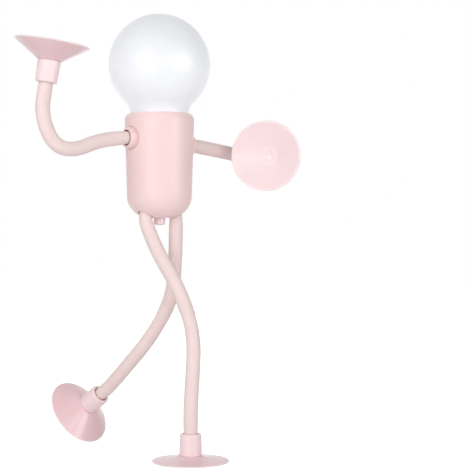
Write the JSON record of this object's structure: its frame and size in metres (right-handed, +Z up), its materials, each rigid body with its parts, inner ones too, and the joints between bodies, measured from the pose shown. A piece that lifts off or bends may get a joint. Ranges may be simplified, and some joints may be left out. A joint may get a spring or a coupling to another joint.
{
  "type": "suction cup lamp",
  "caption": "Figure-shaped lamp: white globe head on a pink capsule body, with bendable arms and legs that end in suction cups, and a push button under the body.",
  "frame": {"origin": "middle of the standing cup's rim, on the surface that the lamp stands on", "axes": "+Z up, +X to the right and +Y away as the lamp is seen in its picture"},
  "size_m": [0.165, 0.1336, 0.2599],
  "materials": {
    "body_pink": "satin moulded plastic, light pink",
    "sleeve_pink": "matt silicone sleeve, beige pink",
    "collar_pink": "satin moulded plastic, pale pink",
    "cup_pink": "satin silicone, dusty pink",
    "globe_white": "milk-white frosted diffuser",
    "button_pink": "satin moulded plastic, pink",
    "core_steel": "plain drawn steel",
    "screw_steel": "zinc plated",
    "carrier_white": "white coated plate",
    "board_green": "glass epoxy with green resist",
    "board_white": "glass epoxy with white resist",
    "chip_yellow": "phosphor window",
    "chip_black": "moulded epoxy",
    "cell_wrap": "shrink wrapped can",
    "cradle_white": "moulded plastic",
    "lead_red": "soft insulation",
    "socket_shell": "drawn shell"
  },
  "bodies": {
    "torso": {"body_shell": "body_pink", "globe_diffuser": "globe_white", "led_carrier": "carrier_white", "led_board": "board_white", "led_chips": "chip_yellow", "led_screws": "screw_steel", "battery_cell": "cell_wrap", "battery_cradle": "cradle_white", "cradle_screws": "screw_steel", "control_board": "board_green", "board_components": "chip_black", "board_screws": "screw_steel", "usb_socket": "socket_shell", "switch_board": "board_green", "switch_body": "chip_black", "led_leads": "lead_red", "battery_leads": "lead_red", "switch_leads": "lead_red", "limb_root_sleeves": "sleeve_pink", "limb_anchors": "core_steel", "limb_washers": "screw_steel", "limb_nuts": "screw_steel"},
    "button": {"button_cap": "button_pink", "switch_plunger": "chip_black"},
    "raised_arm_upper": {"raised_arm_sleeve_upper": "sleeve_pink", "raised_arm_core_upper": "core_steel"},
    "raised_arm_lower": {"raised_arm_sleeve_lower": "sleeve_pink", "raised_arm_core_lower": "core_steel"},
    "raised_arm_hand": {"raised_arm_sleeve_tip": "sleeve_pink", "raised_arm_core_tip": "core_steel", "raised_arm_collar": "collar_pink", "raised_arm_cup": "cup_pink"},
    "outstretched_arm_upper": {"outstretched_arm_sleeve_upper": "sleeve_pink", "outstretched_arm_core_upper": "core_steel"},
    "outstretched_arm_lower": {"outstretched_arm_sleeve_lower": "sleeve_pink", "outstretched_arm_core_lower": "core_steel"},
    "outstretched_arm_hand": {"outstretched_arm_sleeve_tip": "sleeve_pink", "outstretched_arm_core_tip": "core_steel", "outstretched_arm_collar": "collar_pink", "outstretched_arm_cup": "cup_pink"},
    "standing_leg_upper": {"standing_leg_sleeve_upper": "sleeve_pink", "standing_leg_core_upper": "core_steel"},
    "standing_leg_lower": {"standing_leg_sleeve_lower": "sleeve_pink", "standing_leg_core_lower": "core_steel"},
    "standing_leg_foot": {"standing_leg_sleeve_tip": "sleeve_pink", "standing_leg_core_tip": "core_steel", "standing_leg_collar": "collar_pink", "standing_leg_cup": "cup_pink"},
    "trailing_leg_upper": {"trailing_leg_sleeve_upper": "sleeve_pink", "trailing_leg_core_upper": "core_steel"},
    "trailing_leg_lower": {"trailing_leg_sleeve_lower": "sleeve_pink", "trailing_leg_core_lower": "core_steel"},
    "trailing_leg_foot": {"trailing_leg_sleeve_tip": "sleeve_pink", "trailing_leg_core_tip": "core_steel", "trailing_leg_collar": "collar_pink", "trailing_leg_cup": "cup_pink"}
  },
  "joints": [
    {"name": "button_press", "type": "slide", "parent": "torso", "child": "button", "axis": [0, 0, 1], "range_m": [0, 0.0012], "stiffness_N_per_m": 1500, "springref_m": -0.0006},
    {"name": "raised_arm_shoulder", "type": "hinge", "parent": "torso", "child": "raised_arm_upper", "pos_m": [-0.04448, 0.0106, 0.1853], "axis": [-0.091, -0.0657, 0.9937], "range_deg": [-60, 60]},
    {"name": "raised_arm_elbow", "type": "hinge", "parent": "raised_arm_upper", "child": "raised_arm_lower", "pos_m": [-0.08067, -0.01283, 0.18954], "axis": [-0.5218, 0.8454, -0.1144], "range_deg": [-60, 20]},
    {"name": "raised_arm_wrist", "type": "hinge", "parent": "raised_arm_lower", "child": "raised_arm_hand", "pos_m": [-0.08238, -0.01358, 0.20663], "axis": [0.9879, 0, -0.155], "range_deg": [-60, 60]},
    {"name": "outstretched_arm_shoulder", "type": "hinge", "parent": "torso", "child": "outstretched_arm_upper", "pos_m": [0.01126, 0.04936, 0.18172], "axis": [-0.6054, 0.7959, 0.0066], "range_deg": [-50, 60]},
    {"name": "outstretched_arm_elbow", "type": "hinge", "parent": "outstretched_arm_upper", "child": "outstretched_arm_lower", "pos_m": [0.02994, 0.06767, 0.1787], "axis": [0.0724, 0.0871, 0.9936], "range_deg": [-30, 60]},
    {"name": "outstretched_arm_wrist", "type": "hinge", "parent": "outstretched_arm_lower", "child": "outstretched_arm_hand", "pos_m": [0.0541, 0.06501, 0.1768], "axis": [0.9629, -0.27, 0], "range_deg": [-60, 60]},
    {"name": "standing_leg_hip", "type": "hinge", "parent": "torso", "child": "standing_leg_upper", "pos_m": [-0.0224, 0.02085, 0.12829], "axis": [0.0339, 0.9958, -0.0847], "range_deg": [-60, 60]},
    {"name": "standing_leg_knee", "type": "hinge", "parent": "standing_leg_upper", "child": "standing_leg_lower", "pos_m": [-0.00178, 0.01125, 0.08496], "axis": [0.9515, 0.0765, 0.298], "range_deg": [-60, 60]},
    {"name": "standing_leg_ankle", "type": "hinge", "parent": "standing_leg_lower", "child": "standing_leg_foot", "pos_m": [0, 0, 0.0241], "axis": [0, 1, 0], "range_deg": [-60, 60]},
    {"name": "trailing_leg_hip", "type": "hinge", "parent": "torso", "child": "trailing_leg_upper", "pos_m": [-0.00807, 0.03463, 0.1265], "axis": [0.001, 0.9967, 0.0814], "range_deg": [-60, 60]},
    {"name": "trailing_leg_knee", "type": "hinge", "parent": "trailing_leg_upper", "child": "trailing_leg_lower", "pos_m": [-0.01659, 0.04038, 0.07908], "axis": [0.8777, 0.0989, -0.469], "range_deg": [-60, 60]},
    {"name": "trailing_leg_ankle", "type": "hinge", "parent": "trailing_leg_lower", "child": "trailing_leg_foot", "pos_m": [-0.04176, 0.05754, 0.04395], "axis": [0.8504, 0.3301, -0.4097], "range_deg": [-60, 60]}
  ]
}
